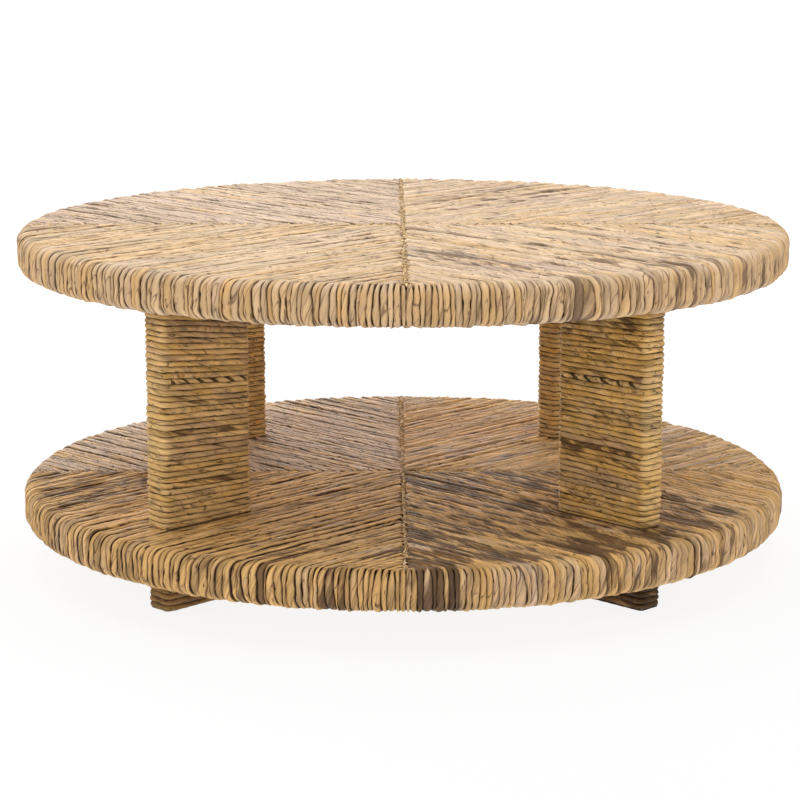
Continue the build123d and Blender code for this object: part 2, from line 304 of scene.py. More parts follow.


# Twisted bark: colour, height for the bump and roughness, from a rope's own ropePlace, ropeTone, ropeRim
# and ropeMood. Pale, golden and grey bark lie side by side, then come dark bark, creases, specks and gaps, with
# painted shade in the creases, in the gaps and on the rim.
def makeBarkGroup():
    look = barkLook
    tree = bpy.data.node_groups.new("twistedBark", "ShaderNodeTree")
    for name in ("Pale", "Gold", "Grey", "Brown", "RimShade", "Spread", "GapShadow", "Specks"):
        kind = "NodeSocketFloat" if name in ("Spread", "GapShadow", "Specks") else "NodeSocketColor"
        tree.interface.new_socket(name, in_out="INPUT", socket_type=kind)
    for name in ("Color", "Height", "Roughness"):
        kind = "NodeSocketColor" if name == "Color" else "NodeSocketFloat"
        tree.interface.new_socket(name, in_out="OUTPUT", socket_type=kind)
    make = NodeMaker(tree)
    given = tree.nodes.new("NodeGroupInput").outputs
    along, around, across = make.apart(make.read("ropePlace", 1))
    dark, grey, gold = make.apart(make.read("ropeMood", 1))
    tone, rim = make.read("ropeTone", 2), make.read("ropeRim", 2)
    seed = make.times(tone, look["strandSpacing"])
    helix = make.plus(around, make.times(along, 1 / look["fibreTurn"]))  # how far round, carried along the twist
    followed = {"helix": helix, "around": around, "across": across}

    def pattern(name):
        alongScale, side, sideScale, own, third, detail, roughness = barkPatterns[name]
        place = make.vector(make.times(along, alongScale), make.times(followed[side], sideScale),
                            make.plus(seed, third) if own else third)
        return make.noise(place, 1.0, detail, roughness)

    def share(value, mood, edges):
        return make.span(make.plus(value, make.times(mood, look["moodPull"])), *edges)

    fibre, strip = pattern("fibre"), pattern("strip")
    color = make.mix(share(pattern("gold"), gold, look["goldFrom"]), given["Pale"], given["Gold"])
    color = make.mix(share(pattern("grey"), grey, look["greyFrom"]), color, given["Grey"])

    lightness = 0.0
    for value, weight in ((fibre, look["fibreShare"]), (strip, look["stripShare"]), (tone, look["strandShare"]),
                          (pattern("group"), look["groupShare"])):
        lightness = make.plus(lightness, make.times(make.maths("SUBTRACT", value, 0.5), weight))
    lightness = make.times(lightness, given["Spread"])
    lift = make.plus(lightness, 1.0)
    color = make.tint(color, make.vector(lift, lift, lift))
    # painted shade: on the rim the rope is tinted apart from the face, for the different light falling on face and
    # rim
    color = make.mix(rim, color, make.tint(color, given["RimShade"]))

    # dark bark where the mood asks for it, and painted shade in thin diagonal creases along the twist
    darkShare = share(pattern("dark"), dark, look["darkFrom"])
    crease = make.maths("ABSOLUTE", make.maths("SUBTRACT", pattern("crease"), 0.5))
    crease = make.span(crease, 0.0, look["creaseWidth"], 1.0, 0.0)
    creaseHere = make.plus(pattern("creaseHere"), make.times(rim, look["rimCreases"]))
    crease = make.times(crease, make.span(creaseHere, *look["creaseFrom"]))
    # specks lie along the strand, most of them low on its sides: height is sin(360 around - 50 degrees)
    height = make.maths("SINE", make.plus(make.times(around, 2 * np.pi), sectionAngles[0]))
    low = make.span(height, *look["lowSide"], 1.0, 0.0)
    speck = make.span(make.plus(pattern("speck"), make.times(low, look["lowSpecks"])), *look["speckFrom"])
    speck = make.times(speck, given["Specks"])
    turnsHere = make.plus(make.plus(around, make.times(along, 1 / look["stripeTurn"])),
                          make.times(strip, look["stripeWander"]))
    stripe = make.span(make.maths("SINE", make.times(turnsHere, 2 * np.pi)), *look["stripeEdges"])
    stripe = make.times(stripe, make.span(gold, *look["stripedBelow"], 1.0, 0.0))
    shade = make.maths("MAXIMUM", make.maths("MAXIMUM", make.times(darkShare, look["darkStrength"]),
                                             make.times(crease, look["creaseShade"])),
                       make.maths("MAXIMUM", speck, stripe))
    deep = make.maths("MAXIMUM", make.plus(make.times(lightness, look["darkContrast"]), 1.0), look["darkest"])
    color = make.mix(shade, color, make.tint(given["Brown"], make.vector(deep, deep, deep)))

    # painted shade: the sides of a strand darken towards the gap, here strongly and there hardly at all
    gapShade = make.span(height, *look["gapShadowSide"], 1.0, 0.0)
    gapShade = make.times(gapShade, make.span(pattern("depth"), *look["gapShadowRange"]))
    gapShade = make.times(gapShade, make.plus(1.0, make.times(rim, look["rimGapShadow"])))
    gapShade = make.times(gapShade, given["GapShadow"], True)
    color = make.mix(gapShade, color, make.tint(given["Brown"], look["gapShadowTint"]))

    bump = make.maths("SUBTRACT", make.plus(fibre, make.times(strip, look["stripBump"])),
                      make.times(crease, look["creaseBump"]))
    result = tree.nodes.new("NodeGroupOutput")
    tree.links.new(color, result.inputs["Color"])
    tree.links.new(bump, result.inputs["Height"])
    tree.links.new(make.span(fibre, *look["roughness"]), result.inputs["Roughness"])
    return tree


barkGroup = makeBarkGroup()
# On a disc's rim the rope takes a tint of painted shade, which sets it apart from the face for the different light
# falling on each.
# Spread is the contrast of the fibres; the gap setting is the strength of the painted shade in the gaps, and
# Specks the darkness of the specks.
barkColors = {
    "top": {"Pale": (0.70, 0.52, 0.345, 1), "Gold": (0.70, 0.47, 0.24, 1), "Grey": (0.60, 0.44, 0.32, 1),
            "Brown": (0.15, 0.083, 0.045, 1), "RimShade": (0.90, 0.82, 0.68, 1), "Spread": 0.5, "GapShadow": 0.74,
            "Specks": 0.8},
    "shelf": {"Pale": (0.66, 0.44, 0.225, 1), "Gold": (0.63, 0.38, 0.135, 1), "Grey": (0.57, 0.41, 0.28, 1),
              "Brown": (0.08, 0.037, 0.017, 1), "RimShade": (0.92, 0.90, 0.95, 1), "Spread": 0.85, "GapShadow": 1.0,
              "Specks": 1.0},
    "leg": {"Pale": (0.67, 0.435, 0.18, 1), "Gold": (0.63, 0.37, 0.105, 1), "Grey": (0.49, 0.31, 0.155, 1),
            "Brown": (0.06, 0.027, 0.011, 1), "RimShade": (1, 1, 1, 1), "Spread": 0.72, "GapShadow": 0.95,
            "Specks": 0.85},
    "foot": {"Pale": (0.25, 0.143, 0.05, 1), "Gold": (0.235, 0.122, 0.03, 1), "Grey": (0.165, 0.094, 0.038, 1),
             "Brown": (0.028, 0.013, 0.006, 1), "RimShade": (1, 1, 1, 1), "Spread": 0.66, "GapShadow": 0.8,
             "Specks": 0.85},
    "cord": {"Pale": (0.84, 0.64, 0.40, 1), "Gold": (0.78, 0.54, 0.25, 1), "Grey": (0.66, 0.49, 0.33, 1),
             "Brown": (0.15, 0.08, 0.035, 1), "RimShade": (1, 1, 1, 1), "Spread": 0.9, "GapShadow": 0.35,
             "Specks": 0.6},
}


def newMaterial(name):
    material = bpy.data.materials.new(name)
    material.use_nodes = True
    tree = material.node_tree
    return material, NodeMaker(tree), tree.nodes["Principled BSDF"]


def wire(material, surface, color, roughness, normal):
    for name, socket in (("Base Color", color), ("Roughness", roughness), ("Normal", normal)):
        material.node_tree.links.new(socket, surface.inputs[name])
    return material


def shaded(color, share):
    return [share * part for part in color[:3]] + [1]


def makeBark(kind):
    material, make, surface = newMaterial(kind + "Bark")
    bark = material.node_tree.nodes.new("ShaderNodeGroup")
    bark.node_tree = barkGroup
    for key, value in barkColors[kind].items():
        bark.inputs[key].default_value = value
    surface.inputs["Specular IOR Level"].default_value = barkLook["shine"]
    return wire(material, surface, bark.outputs["Color"], bark.outputs["Roughness"],
                make.bump(barkLook["bumpStrength"], barkLook["bumpDepth"], bark.outputs["Height"]))


barks = {kind: makeBark(kind) for kind in barkColors}

# pale and dark colour, scale of the grain along x, y and z, and roughness
woods = {
    "coreBoard": ((0.16, 0.09, 0.045, 1), (0.08, 0.042, 0.02, 1), (25.0, 160.0, 160.0), 0.7),
    "legWood": ((0.42, 0.27, 0.14, 1), (0.30, 0.17, 0.08, 1), (160.0, 160.0, 14.0), 0.55),
    "dowelWood": ((0.62, 0.45, 0.26, 1), (0.50, 0.34, 0.18, 1), (320.0, 320.0, 24.0), 0.5),
}
# colour and roughness
metals = {
    "boltSteel": ((0.55, 0.55, 0.56, 1), 0.3),
    "washerSteel": ((0.62, 0.62, 0.62, 1), 0.26),
    "nutSteel": ((0.58, 0.56, 0.52, 1), 0.35),
}
# In these three, edges are a noise's low and high end, then the shares there; bump is strength and depth.
woodLook = {
    "ringEdges": (0.35, 0.65),
    "poreScale": 4,            # scale of the pores, to that of the grain
    "poreEdges": (0.55, 0.75, 0.0, 0.5),
    "poreShade": 0.5,
    "roughSpread": 0.15,
    "bump": (0.3, 0.0004),
}
metalLook = {
    "scratchScale": (900.0, 900.0, 9000.0),
    "stainScale": 60.0,
    "stainEdges": (0.4, 0.8),
    "stainShade": 0.6,
    "roughSpread": 0.2,
    "bump": (0.15, 0.0001),
}
plasticLook = {
    "color": (0.12, 0.10, 0.085, 1),
    "scuffColor": (0.3, 0.28, 0.25, 1),
    "grainScale": 1800.0,
    "scuffScale": 90.0,
    "scuffEdges": (0.5, 0.75, 0.0, 0.6),
    "roughness": (0.3, 0.7, 0.4, 0.6),
    "bump": (0.2, 0.0002),
}


# Sawn wood or pressed board: long grain and fine pores, from the piece's own coordinates.
def makeWood(name, pale, dark, grain, roughness):
    look = woodLook
    material, make, surface = newMaterial(name)
    place = make.objectPlace()
    rings = make.stretchedNoise(place, grain, 4.0, 0.6)
    pores = make.stretchedNoise(place, [look["poreScale"] * scale for scale in grain], 2.0)
    color = make.mix(make.span(rings, *look["ringEdges"]), pale, dark)
    color = make.mix(make.span(pores, *look["poreEdges"]), color, shaded(dark, look["poreShade"]))
    return wire(material, surface, color, make.span(pores, 0.3, 0.7, roughness, roughness + look["roughSpread"]),
                make.bump(*look["bump"], pores))


# Brushed steel: fine scratches round or along the part, and faint stains.
def makeMetal(name, color, roughness):
    look = metalLook
    material, make, surface = newMaterial(name)
    place = make.objectPlace()
    brushed = make.stretchedNoise(place, look["scratchScale"], 3.0)
    stains = make.noise(place, look["stainScale"], 3.0)
    surface.inputs["Metallic"].default_value = 1.0
    stained = make.mix(make.span(stains, *look["stainEdges"]), color, shaded(color, look["stainShade"]))
    return wire(material, surface, stained,
                make.span(brushed, 0.3, 0.7, roughness, roughness + look["roughSpread"]),
                make.bump(*look["bump"], brushed))


# Moulded plastic: a fine grain, and scuffs from the floor.
def makePlastic(name):
    look = plasticLook
    material, make, surface = newMaterial(name)
    place = make.objectPlace()
    grain = make.noise(place, look["grainScale"], 2.0)
    scuffs = make.noise(place, look["scuffScale"], 4.0, 0.65)
    scuffed = make.mix(make.span(scuffs, *look["scuffEdges"]), look["color"], look["scuffColor"])
    return wire(material, surface, scuffed, make.span(scuffs, *look["roughness"]),
                make.bump(*look["bump"], grain))


inner = {name: makeWood(name, *look) for name, look in woods.items()}
inner.update({name: makeMetal(name, *look) for name, look in metals.items()})
inner["glidePlastic"] = makePlastic("glidePlastic")

nodeMaterials = {"_board_": "coreBoard", "leg_post_": "legWood", "foot_block_": "legWood", "_dowels": "dowelWood",
                 "_bolts": "boltSteel", "washers": "washerSteel", "barrel_nuts": "nutSteel",
                 "glides": "glidePlastic"}
for nodeName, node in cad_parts.items():
    for part, materialName in nodeMaterials.items():
        if part in nodeName:
            for place in range(len(node.material_slots)):
                node.material_slots[place].material = inner[materialName]
print("materials made")


# rope laid over a quarter of a disc

discRope = {
    "strands": 98,            # strands over the rim of one quarter
    "crowding": 0.11,         # strands are this share wider in the middle of a quarter than the mean
    "edgeDrift": 0.008,       # how far a strand's bend turns it sideways over the rim, in radians
    "seamGap": 0.0011,        # bare strip each side of a seam
    "endSpread": 0.0026,      # how unevenly the strands' ends stop at the seam
    "slantLength": 0.012,     # an end is cut along the seam, and the lean fades over this length
    "stepOver": 0.0056,       # ring spacing on the upper face
    "stepUnder": 0.015,       # ring spacing underneath
    "overlap": 1.07,          # strand width to strand spacing
    "edgeWander": 0.2,        # sideways wander of the line between two strands, to strand spacing
    "slowWave": 0.034,        # lengths of its slow and its quick wander, and the quick one's share
    "quickWave": 0.013,
    "quickShare": 0.5,
    "widthSpread": 0.24,      # unevenness of the strands' widths, to strand spacing
    "lean": 0.46,             # how far the lines between strands lean on the rim, to strand spacing
    "groupLean": 0.2,         # the same for groups of strands
    "groupSize": 5.0,         # strands in such a group
    "leanLength": 0.05,       # the lean grows over this length, from leanStart before the rim
    "leanStart": 0.004,
    "thinWave": 0.021,        # now and then a strand thins: the length of such places,
    "thinSlope": 2.2,         # how sharply they start and how rare they are,
    "thinRare": 1.2,
    "thinWidth": 0.3,         # and how much narrower and lower the strand is there
    "thinHeight": 0.12,
    "heightSwell": 0.1,       # unevenness of a strand's height along it, and its wave
    "heightWave": 0.028,
    "heightSpread": 0.09,     # unevenness between strands
    "heightWander": 0.0008,   # how far strands rise and sink
    "wanderWave": 0.05,
    "plump": 1.02,            # strand height to layer thickness
    "tuckLength": 0.004,      # shortest length over which an end tucks down
    "tuckFlat": 0.25,
    "tuckDepth": 0.0014,
    "lobeDepth": 0.085,
    "lobeWave": 0.06,
    "faceLobes": 0.5,         # how much shallower the lobes are on the faces
    "lay": 0.034,             # length of one turn of the twist
    "roundOver": 0.015,       # rounding of the upper edge
    "roundUnder": 0.015,      # rounding of the lower edge
    "postGap": 0.001,         # free space left round a leg or foot
    "shortest": 0.002,        # shortest run over a face
    "cornerRings": 7,         # rings over each rounded edge, and on the upright wall between the two
    "wallRings": 3,
}
# how far apart the pieces lie in the bark's noises, along and across the strands, for each step of the seed
discNoiseStep = (3.1, 2.0)
sheetMargin = 0.06            # free edge of a row in the 0 to 1 sheet, to its height
sheetFill = 0.88
sheetSlack = 1.02             # length of a row, to the longest pair of strands in it
straightOn = 0.99             # a normal with this much of one direction counts as pointing that way


# Rings along each strand: a straight run out over the face, a quarter turn at the rim, down, back under.
# Returns owner, centre, outward normal, distance from the top of the rim, and how square it lies to the rim.
def discPath(disc, strandAngle, firstOffset, stepOver, stepUnder, endShift):
    half = disc["layer"] / 2
    radius, bend = disc["radius"] - half, discRope["roundOver"] - half
    bendUnder = discRope["roundUnder"] - half
    top, bottom = disc["high"] - half, disc["low"] + half
    flat = radius - bend
    drift = discRope["edgeDrift"] * np.sin(4 * strandAngle)
    rimWidth = np.cos(strandAngle)
    rows = []

    def straight(step, z, normal, sign, start, scale):
        offset = firstOffset * scale
        farEnd = np.sqrt((flat * scale)**2 - offset**2)
        nearEnd = np.abs(offset) + discRope["seamGap"] * np.sqrt(2) + endShift
        nearEnd = np.minimum(nearEnd, farEnd - discRope["shortest"])
        length = farEnd - nearEnd
        counts = np.maximum(np.round(length / step).astype(int), 1)
        owner, place = ragged(counts)
        share = (place + (0.0 if sign < 0 else 1.0)) / counts[owner]
        out = share if sign < 0 else 1 - share
        x = nearEnd[owner] + length[owner] * out
        centre = np.stack([x, offset[owner], np.full(len(x), z)], 1)
        distance = start + sign * (farEnd[owner] - x)
        rows.append((owner, centre, np.tile([0.0, 0.0, normal], (len(x), 1)), distance, rimWidth[owner]))

    def rim(turn, height, distance, share, curve):
        owner = np.repeat(np.arange(len(strandAngle)), len(turn))
        turn, height, distance, share = (np.tile(v, len(strandAngle)) for v in (turn, height, distance, share))
        angle = strandAngle[owner] + drift[owner] * share**2
        around = np.stack([np.cos(angle), np.sin(angle)], 1)
        reach = radius - curve * (1 - np.sin(turn))
        centre = np.column_stack([around * reach[:, None], height])
        outward = np.column_stack([around * np.sin(turn)[:, None], np.cos(turn)])
        rows.append((owner, centre, outward, distance, 1 + (rimWidth[owner] - 1) * share))

    straight(stepOver, top, 1.0, -1, 0.0, 1.0)
    arc = bend * np.pi / 2
    quarter = np.linspace(0, np.pi / 2, discRope["cornerRings"])
    rim(quarter, top - bend * (1 - np.cos(quarter)), bend * quarter, 1 - quarter / (np.pi / 2), bend)
    wall = top - bottom - bend - bendUnder
    down = np.linspace(0, 1, discRope["wallRings"] + 2)[1:-1]
    rim(np.full(len(down), np.pi / 2), top - bend - wall * down, arc + wall * down, 0 * down, bend)
    rim(np.pi / 2 + quarter, bottom + bendUnder * (1 - np.sin(quarter)), arc + wall + bendUnder * quarter,
        quarter / (np.pi / 2), bendUnder)
    straight(stepUnder, bottom, -1.0, 1, arc + wall + bendUnder * np.pi / 2, (radius - bendUnder) / flat)
    owner, centre, outward, distance, width = (np.concatenate(column) for column in zip(*rows))
    order = np.lexsort((distance, owner))
    return owner[order], centre[order], outward[order], distance[order], width[order]


# Rope over one quarter of a disc: strands side by side, parallel to the quarter's middle line. The line
# between two strands wanders, and each strand fills the space between its two lines.
def layQuarter(kind, quarter, seed):
    rope, disc = discRope, discOf(kind)
    rng = np.random.default_rng(seed)
    count = rope["strands"]
    edge = np.arange(count + 1) / count * 2 - 1
    crowd = rope["crowding"] * np.sin(np.pi * edge) / np.pi
    edgeAngle = (edge + crowd) * np.pi / 4
    strandAngle = (edgeAngle[1:] + edgeAngle[:-1]) / 2
    spacing = np.diff(edgeAngle) * disc["radius"]
    flat = disc["radius"] - rope["roundOver"]
    offset = flat * np.sin(strandAngle + rope["edgeDrift"] * np.sin(4 * strandAngle))
    endShift = rope["endSpread"] * rng.uniform(-0.5, 1, count)
    owner, centre, outward, distance, width = discPath(disc, strandAngle, offset, rope["stepOver"],
                                                       rope["stepUnder"], endShift)

    def wave(length):
        return unevenness(rng, count, owner, distance, length)

    def perStrand(low=-1.0, high=1.0):
        return rng.uniform(low, high, count)[owner]

    lines = count + 1

    def lineWander(line):
        slow = unevenness(np.random.default_rng(seed + 1), lines, line, distance, rope["slowWave"])
        quick = unevenness(np.random.default_rng(seed + 2), lines, line, distance, rope["quickWave"])
        return slow + rope["quickShare"] * quick

    lower, upper = lineWander(owner), lineWander(owner + 1)
    uneven = rope["widthSpread"] / rope["edgeWander"] * rng.uniform(-1, 1, lines)
    lower, upper = lower + uneven[owner], upper + uneven[owner + 1]
    lineNumber = np.arange(lines)
    lean = unevenness(rng, 1, 0 * lineNumber, lineNumber, rope["groupSize"]) * rope["groupLean"]
    lean = (lean + rope["lean"] * rng.uniform(-1, 1, lines)) / rope["edgeWander"]
    down = smooth((distance + rope["leanStart"]) / rope["leanLength"])
    lower, upper = lower + lean[owner] * down, upper + lean[owner + 1] * down
    lower, upper = np.where(owner == 0, 0, lower), np.where(owner == count - 1, 0, upper)
    wander = rope["edgeWander"] * spacing[owner] * width
    thin = smooth(wave(rope["thinWave"]) * rope["thinSlope"] - rope["thinRare"])
    halfWidth = rope["overlap"] * spacing[owner] * width / 2 + wander * (upper - lower) / 2
    halfWidth *= 1 - rope["thinWidth"] * thin
    halfHeight = disc["layer"] / 2 * rope["plump"] * (1 + rope["heightSwell"] * wave(rope["heightWave"]))
    halfHeight *= 1 - rope["thinHeight"] * thin
    halfHeight *= 1 + rope["heightSpread"] * perStrand()
    lift = rope["heightWander"] * (wave(rope["wanderWave"]) + perStrand())

    # at the seams a strand's end tucks down under the cord
    firstRing = np.r_[True, owner[1:] != owner[:-1]]
    lastRing = np.r_[owner[1:] != owner[:-1], True]
    fromStart = distance - distance[firstRing][owner]
    toEnd = distance[lastRing][owner] - distance
    endSide = np.minimum(fromStart, toEnd)
    tuck = 1 - smooth(endSide / (rope["tuckLength"] * (1 + rng.random(count)[owner])))
    halfHeight *= 1 - rope["tuckFlat"] * tuck
    lift -= rope["tuckDepth"] * tuck * perStrand(0.3, 1.4)
    slant = np.where(fromStart < toEnd, -1.0, 1.0) * np.sign(offset)[owner]
    slant *= 1 - smooth(endSide / rope["slantLength"])

    # rings inside a leg's post or foot block are left out, and the run is cut there
    onFace = np.abs(outward[:, 2]) > straightOn
    under = outward[:, 2] < 0
    if kind == "top":
        onFace &= under
    inside = onFace & (np.abs(centre[:, 0] - legRadius) < postHalfLength + rope["postGap"])
    inside &= np.abs(centre[:, 1]) < postHalfWidth + halfWidth
    run = owner * 4 + np.where(onFace & (centre[:, 0] < legRadius), np.where(under, 3, 1), 2)
    run = np.where(np.isin(owner, np.unique(owner[inside])), run, owner * 4)

    direction = unit(np.gradient(centre, axis=0))
    sideways = unit(np.cross(direction, outward))
    sideways[firstRing] = sideways[np.flatnonzero(firstRing) + 1]
    sideways[lastRing] = sideways[np.flatnonzero(lastRing) - 1]
    centre = centre + sideways * (wander * (upper + lower) / 2 * sideSign(sideways, centre))[:, None]
    centre = centre + outward * lift[:, None]

    phase = perStrand(0, 2 * np.pi)
    lobe = rope["lobeDepth"] * (1 + wave(rope["lobeWave"]))
    lobe *= 1 - rope["faceLobes"] * np.abs(outward[:, 2])
    twist = 2 * np.pi * distance / (rope["lay"] / 2) + phase
    swell = 1 + lobe[:, None] * np.cos(2 * sectionAngles[None, :] + twist[:, None])

    # two strands share a row of the 0 to 1 sheet: a long one with a short one, half a quarter apart
    half = count // 2
    lengths = (fromStart + toEnd)[firstRing]
    rowLength = (lengths[:half] + lengths[half:]).max() * sheetSlack
    left = np.where(owner < half, fromStart, rowLength - toEnd) / rowLength
    rowHeight = 1 / half
    bottom = (owner % half + sheetMargin) * rowHeight
    tone = rng.random(count)[owner]
    across = np.sin(strandAngle)[owner] * disc["radius"]
    mood = discMood(kind, quarter, rng, owner, distance, across)
    noiseAlong, noiseAcross = discNoiseStep
    keep = ~inside
    degrees = quarterTurns[quarter]
    piece = ropeMesh(kind + "_rope_" + quarter, kind, run[keep], turned(centre, degrees)[keep],
                     turned(outward, degrees)[keep], halfWidth[keep], halfHeight[keep], swell[keep],
                     distance[keep] + noiseAlong * seed, across[keep] + noiseAcross * seed, tone[keep], mood[keep],
                     (left[keep], bottom[keep], sheetFill * rowHeight), slant[keep])
    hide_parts(kind + "_wrap_" + quarter)
    return piece


darkBarkAndShade, greyBark, goldBark = range(3)
# Shares of dark, grey and golden bark for each quarter, then patches of (kind of bark, middle across, half
# width, from, to, strength); some of these are painted shadow and painted sheen, as marked. Across runs along the
# rim to the left of someone looking outwards, and from and to are distances back from the rim.
discMoods = {
    ("top", "front_left"): ((-0.05, -0.15, 0.1), (
        (goldBark, 0.3, 0.05, 0.0, 0.4, 0.3),
        (darkBarkAndShade, 0.12, 0.02, 0.1, 0.3, 0.25))),
    ("top", "front_right"): ((0.06, -0.1, 0.15), (
        (greyBark, -0.165, 0.04, 0.06, 0.4, 0.5),
        (darkBarkAndShade, -0.16, 0.035, 0.1, 0.4, 0.45),
        (darkBarkAndShade, -0.02, 0.003, 0.0, 0.5, 0.9),
        (darkBarkAndShade, -0.19, 0.08, -0.12, 0.02, 0.35),
        (darkBarkAndShade, -0.03, 0.09, 0.0, 0.16, 0.35),
        (darkBarkAndShade, 0.1, 0.16, -0.12, 0.0, 0.3))),
    # painted sheen: this quarter's grey share stands in for the reflection of the light from behind
    ("top", "back_left"): ((0.0, 0.45, -0.15), ()),
    ("top", "back_right"): ((0.0, 0.0, 0.1), (
        (darkBarkAndShade, 0.12, 0.05, 0.05, 0.3, 0.3),)),
    ("shelf", "front_left"): ((0.05, -0.2, 0.55), (
        # painted shadow over the far left of the shelf
        (darkBarkAndShade, -0.27, 0.1, 0.02, 0.3, 0.85),
        (darkBarkAndShade, 0.285, 0.007, -0.1, 0.5, 1.0),
        (darkBarkAndShade, 0.2, 0.02, -0.1, 0.1, 0.5))),
    ("shelf", "front_right"): ((0.12, -0.35, 0.2), (
        # painted shadow of the top over the shelf's front right face
        (darkBarkAndShade, -0.12, 0.27, 0.02, 0.6, 0.55),
        (darkBarkAndShade, -0.27, 0.065, 0.04, 0.3, 0.5),
        (greyBark, -0.27, 0.07, 0.0, 0.3, 0.25),
        (darkBarkAndShade, -0.322, 0.02, -0.12, 0.06, 0.8),
        (darkBarkAndShade, -0.1, 0.04, -0.1, 0.1, 0.45),
        (goldBark, -0.2, 0.24, 0.02, 0.6, 0.6))),
    # painted sheen: this quarter's grey share stands in for the reflection of the light from behind
    ("shelf", "back_left"): ((-0.1, 0.5, 0.0), ()),
    ("shelf", "back_right"): ((0.05, 0.0, 0.35), ()),
}
moodLook = {
    "bandWidth": 0.024,       # bands of neighbouring strands
    "bandLength": 0.12,       # the same along each strand
    "bandStrength": 0.22,
    "patchSide": 0.006,       # a patch fades out over this width at its sides, and this length at its ends
    "patchEnd": 0.03,
    "streak": 0.65,           # mean strength of a patch's streaks, and how much they vary
    "streakLength": 0.05,
}


# Shares of dark, grey and golden bark for each ring: bands a few strands wide, and the set patches, painted shadow
# and painted sheen among them.
def discMood(kind, quarter, rng, owner, distance, across):
    base, patches = discMoods[kind, quarter]
    look, count = moodLook, discRope["strands"]
    mood = np.tile(np.array(base), (len(owner), 1))
    for column in range(3):
        bands = unevenness(rng, 1, 0 * owner, across, look["bandWidth"])
        bands = bands + unevenness(rng, count, owner, distance, look["bandLength"])
        mood[:, column] += look["bandStrength"] * bands
    for column, middle, half, start, end, strength in patches:
        inBand = 1 - smooth((np.abs(across - middle) - half) / look["patchSide"])
        inLength = smooth((-distance - start) / look["patchEnd"] + 1) * smooth((end + distance) / look["patchEnd"])
        streaks = look["streak"] * (1 + unevenness(rng, count, owner, distance, look["streakLength"]))
        mood[:, column] += strength * inBand * inLength * streaks
    return mood


# 1 where sideways points to larger angles round the table, -1 where it points to smaller ones.
def sideSign(sideways, centre):
    larger = np.stack([-centre[:, 1], centre[:, 0], np.zeros(len(centre))], 1)
    return np.where((sideways * larger).sum(1) > 0, 1.0, -1.0)


for kind, firstSeed in (("top", 11), ("shelf", 31)):
    for place, quarter in enumerate(quarterTurns):
        layQuarter(kind, quarter, firstSeed + place)
    print(kind, "rope laid")


# rope wound round a leg or a foot

legRope = {
    "pitch": 0.0072,         # height of one turn
    "ringsLong": 26,         # rings along a wide side
    "ringsShort": 3,
    "ringsCorner": 3,
    "cornerExtra": 0.0015,   # corner radius, more than half the rope
    # wander of the line between two turns, up and down: wave length, size, and which table of random values
    "wanders": ((0.045, 0.0008, 1), (0.019, 0.0004, 2), (0.23, 0.0006, 3)),
    "tableLength": 20,       # length of rope that such a table is good for
    "thinnest": 0.0002,      # half height of a turn that has run out
    "overlap": 1.08,
    "plump": 1.02,
    "taper": 0.4,            # how a turn that runs out gets thinner: power of its height
    "swells": ((0.09, 0.03), (0.06, 0.011)),      # unevenness of the thickness: size and wave length
    "lifts": ((0.0004, 0.05), (0.0003, 0.4)),     # how far turns rise and sink: size and wave length
    "thinWave": 0.024,       # now and then a turn thins, as a strand of the discs does
    "thinSlope": 2.2,
    "thinRare": 1.25,
    "thinHeight": 0.22,
    "lobeDepth": 0.075,
    "lobeWave": 0.08,
    "lay": 0.03,
    "toneWave": 0.5,
    "moodSize": 0.18,        # bands of dark, grey and golden bark, and their length
    "moodWave": 0.16,
    "noiseStep": (5.3, 2.0), # as discNoiseStep
}
# how much lower the uppermost turns lie on the side towards the table's axis, and how that grows with height
legTilts = {("leg", "front_left"): (0.018, 1.0), ("leg", "front_right"): (0.011, 1.5)}
otherTilt = (0.012, 1.2)
tiltHeight, tiltLimit = 0.28, 1.1     # the tilt is full at this height over the bottom, and grows a little beyond
outerEnd = 0.015                      # a mark's height is read this close to the plank's outer end
striped = -3.0                        # a golden mood as low as this asks for stripes

# Turns that stand out: (kind of bark, wide side or 0 for all round, height at the outer end, turns, strength).
legMarks = {
    ("leg", "front_left"): (
        (goldBark, 1, 0.286, 1, striped),
        (darkBarkAndShade, 1, 0.251, 1, 0.3),
        (darkBarkAndShade, 1, 0.216, 1, 0.3),
        (greyBark, 1, 0.196, 3, 0.6),
        (darkBarkAndShade, 1, 0.153, 1, 0.5),
        (greyBark, 1, 0.35, 5, 0.5)),
    ("leg", "front_right"): (
        (goldBark, -1, 0.283, 1, striped),
        (darkBarkAndShade, -1, 0.290, 1, 0.4),
        (darkBarkAndShade, -1, 0.188, 3, 0.5),
        (darkBarkAndShade, -1, 0.345, 5, 0.35),
        (greyBark, -1, 0.152, 4, 0.4),
        (goldBark, -1, 0.24, 80, 0.35)),
    ("foot", "front_right"): (
        (darkBarkAndShade, 0, 0.02, 40, 0.75),),
    ("leg", "back_right"): (
        (darkBarkAndShade, -1, 0.256, 3, 0.5),),
}


# One turn round a plank as seen from above: four straight sides joined by quarter circles.
# Returns the places, the outward normals and the distance walked, with the last ring left to the next turn.
def sleeveLoop(halfLength, halfWidth, corner):
    straightX, straightY = halfLength - corner, halfWidth - corner
    middles = np.array([[straightX, -straightY], [straightX, straightY], [-straightX, straightY],
                        [-straightX, -straightY]])
    places, normals = [], []
    for i, middle in enumerate(middles):
        count = legRope["ringsCorner"]
        angle = np.radians(-90 + 90 * i + 90 * np.arange(count + 1) / count)
        normal = np.stack([np.cos(angle), np.sin(angle)], 1)
        arc = middle + corner * normal
        following = middles[(i + 1) % 4] + corner * normal[-1]
        sideRings = legRope["ringsShort"] if i % 2 == 0 else legRope["ringsLong"]
        share = (np.arange(1, sideRings) / sideRings)[:, None]
        places += [arc, arc[-1] + (following - arc[-1]) * share]
        normals += [normal, np.repeat(normal[-1:], sideRings - 1, 0)]
    places, normals = np.vstack(places), np.vstack(normals)
    steps = np.linalg.norm(np.roll(places, -1, 0) - places, axis=1)
    return places, normals, np.r_[0, np.cumsum(steps)[:-1]], steps.sum()


